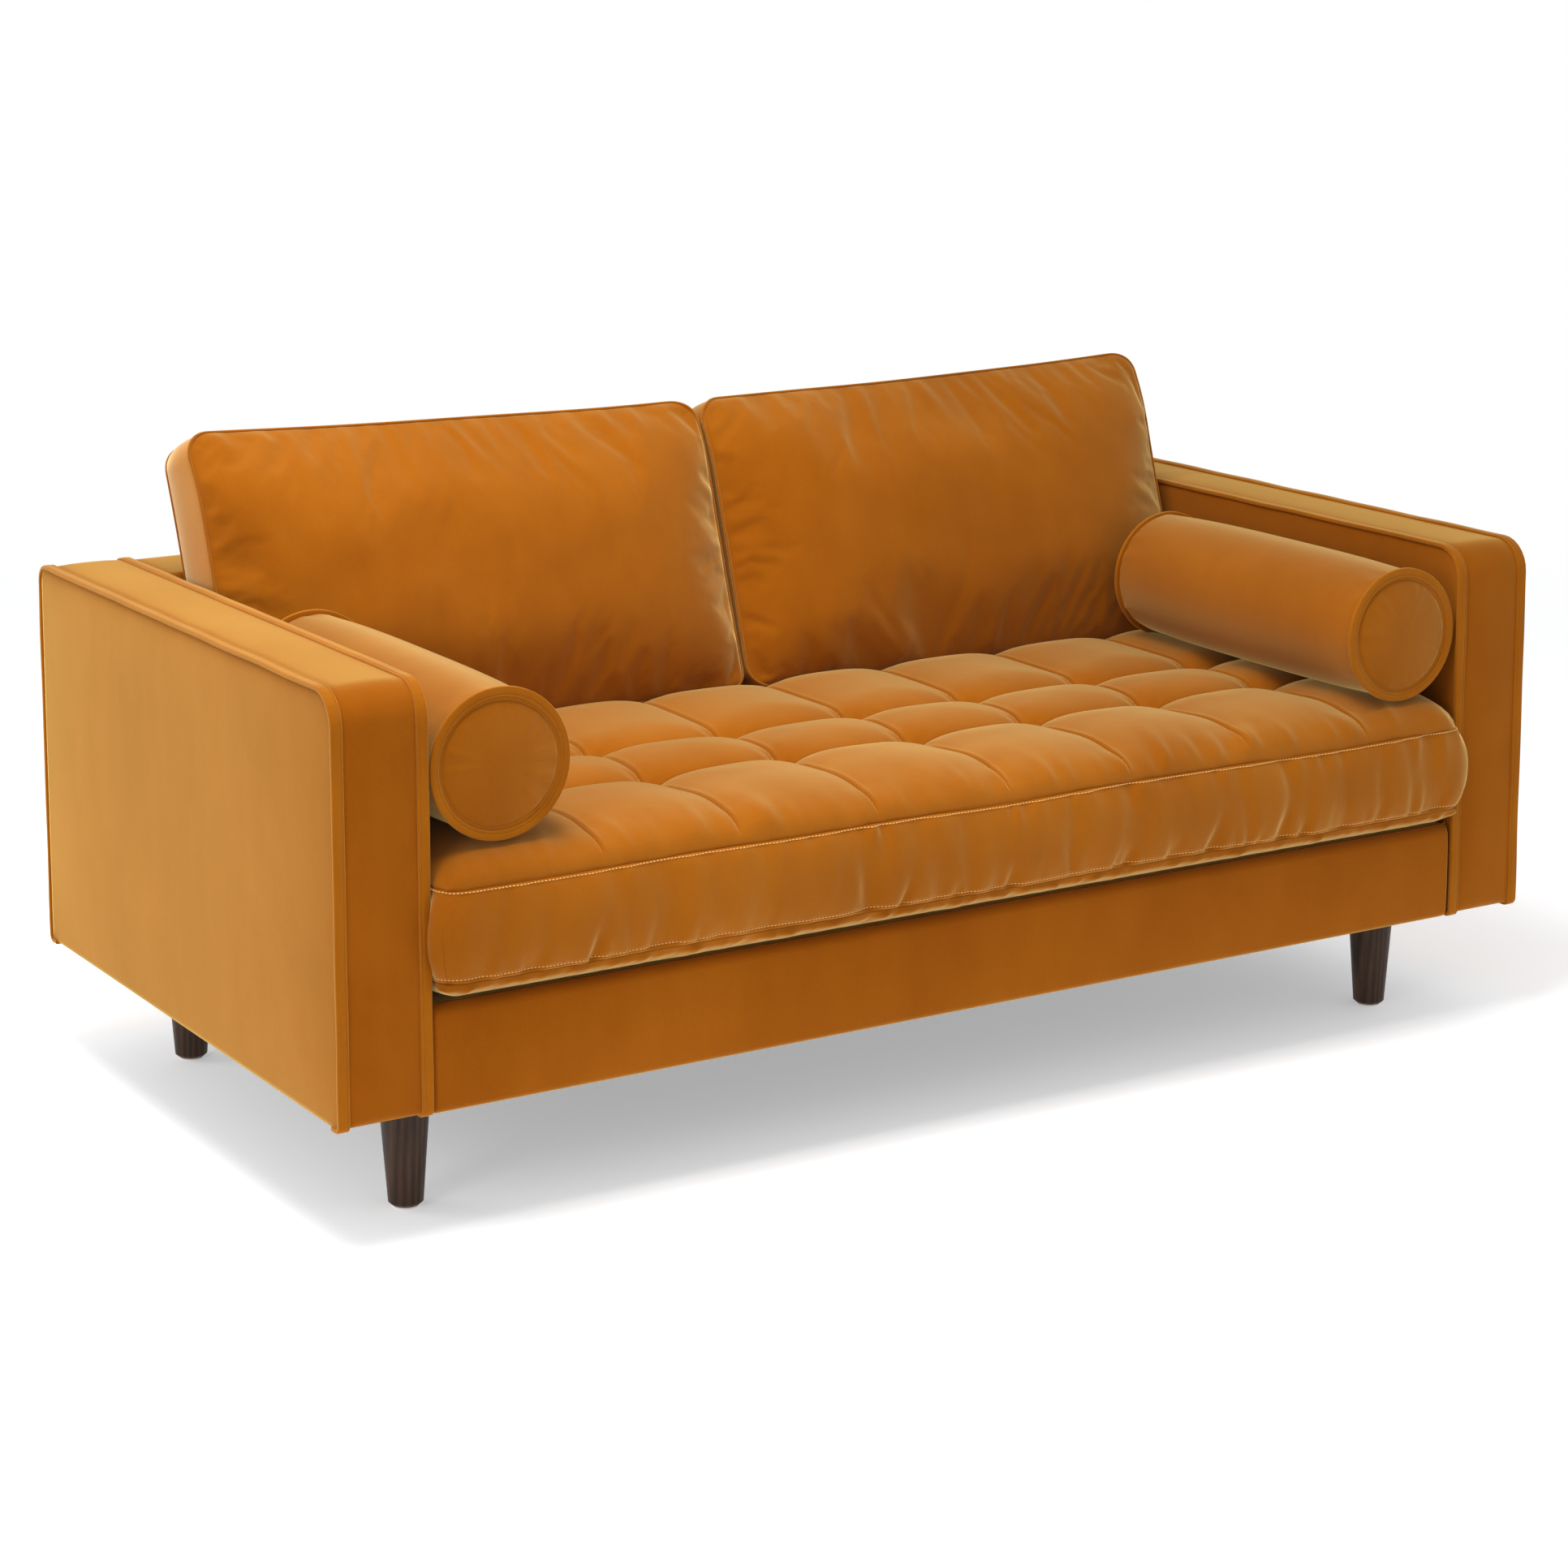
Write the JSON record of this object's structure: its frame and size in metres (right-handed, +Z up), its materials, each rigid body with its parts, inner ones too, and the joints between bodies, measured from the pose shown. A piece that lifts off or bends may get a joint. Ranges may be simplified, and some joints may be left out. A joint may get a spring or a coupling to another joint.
{
  "type": "sofa",
  "caption": "Velvet sofa with slim box arms, tufted bench seat cushion, loose leaning back cushions, round bolsters and turned tapered wooden legs.",
  "frame": {"origin": "on the floor, under the middle of the sofa's overall width and depth", "axes": "+X along the sofa to the sitter's left, -Y towards the front, +Z up"},
  "size_m": [1.829, 0.965, 0.8852],
  "materials": {
    "velvet": "matte",
    "velvet_trim": "matte",
    "walnut": "satin",
    "timber": "matte",
    "hardboard": "matte",
    "steel": "satin",
    "glide": "matte",
    "foam": "matte",
    "felt": "matte",
    "fibre": "matte",
    "deck_cloth": "matte",
    "webbing": "matte",
    "twine": "matte",
    "dust_cloth": "matte"
  },
  "bodies": {
    "root": {"front_rail": "timber", "back_rail": "timber", "side_rails": "timber", "centre_stretcher": "timber", "corner_blocks": "timber", "leg_inserts": "steel", "leg_bolts": "steel", "leg_front_left": "walnut", "leg_front_right": "walnut", "leg_rear_left": "walnut", "leg_rear_right": "walnut", "foot_glides": "glide", "left_arm_posts": "timber", "right_arm_posts": "timber", "left_arm_rails": "timber", "right_arm_rails": "timber", "left_arm_panels": "hardboard", "right_arm_panels": "hardboard", "left_arm_foam": "foam", "right_arm_foam": "foam", "left_arm_outer_cover": "velvet", "right_arm_outer_cover": "velvet", "left_arm_inner_cover": "velvet", "right_arm_inner_cover": "velvet", "left_arm_boxing": "velvet", "right_arm_boxing": "velvet", "left_arm_welts": "velvet_trim", "right_arm_welts": "velvet_trim", "arm_bolts": "steel", "back_posts": "timber", "back_top_rail": "timber", "back_webbing": "webbing", "back_foam": "foam", "back_panel": "hardboard", "back_felt": "felt", "inside_back_cover": "velvet", "outside_back_cover": "velvet", "seat_springs": "steel", "spring_clips": "steel", "spring_tie_wires": "twine", "deck_pad": "felt", "deck_cover": "deck_cloth", "front_rail_foam": "foam", "front_rail_cover": "velvet", "dust_cover": "dust_cloth"},
    "seat_cushion": {"seat_foam": "foam", "seat_cushion_cover": "velvet", "seat_tuft_ties": "twine"},
    "left_back_cushion": {"left_back_fill": "fibre", "left_back_cover": "velvet", "left_back_piping": "velvet_trim"},
    "left_bolster": {"left_bolster_fill": "fibre", "left_bolster_cover": "velvet", "left_bolster_welts": "velvet_trim"},
    "right_back_cushion": {"right_back_fill": "fibre", "right_back_cover": "velvet", "right_back_piping": "velvet_trim"},
    "right_bolster": {"right_bolster_fill": "fibre", "right_bolster_cover": "velvet", "right_bolster_welts": "velvet_trim"}
  },
  "joints": [
    {"name": "seat_cushion_lift", "type": "slide", "parent": "root", "child": "seat_cushion", "axis": [0, 0, 1], "range_m": [0, 0.4]},
    {"name": "left_back_cushion_lift", "type": "slide", "parent": "seat_cushion", "child": "left_back_cushion", "axis": [0, 0.309, 0.9511], "range_m": [0, 0.25]},
    {"name": "left_bolster_lift", "type": "slide", "parent": "seat_cushion", "child": "left_bolster", "axis": [0, 0, 1], "range_m": [0, 0.25]},
    {"name": "right_back_cushion_lift", "type": "slide", "parent": "seat_cushion", "child": "right_back_cushion", "axis": [0, 0.309, 0.9511], "range_m": [0, 0.25]},
    {"name": "right_bolster_lift", "type": "slide", "parent": "seat_cushion", "child": "right_bolster", "axis": [0, 0, 1], "range_m": [0, 0.25]}
  ]
}
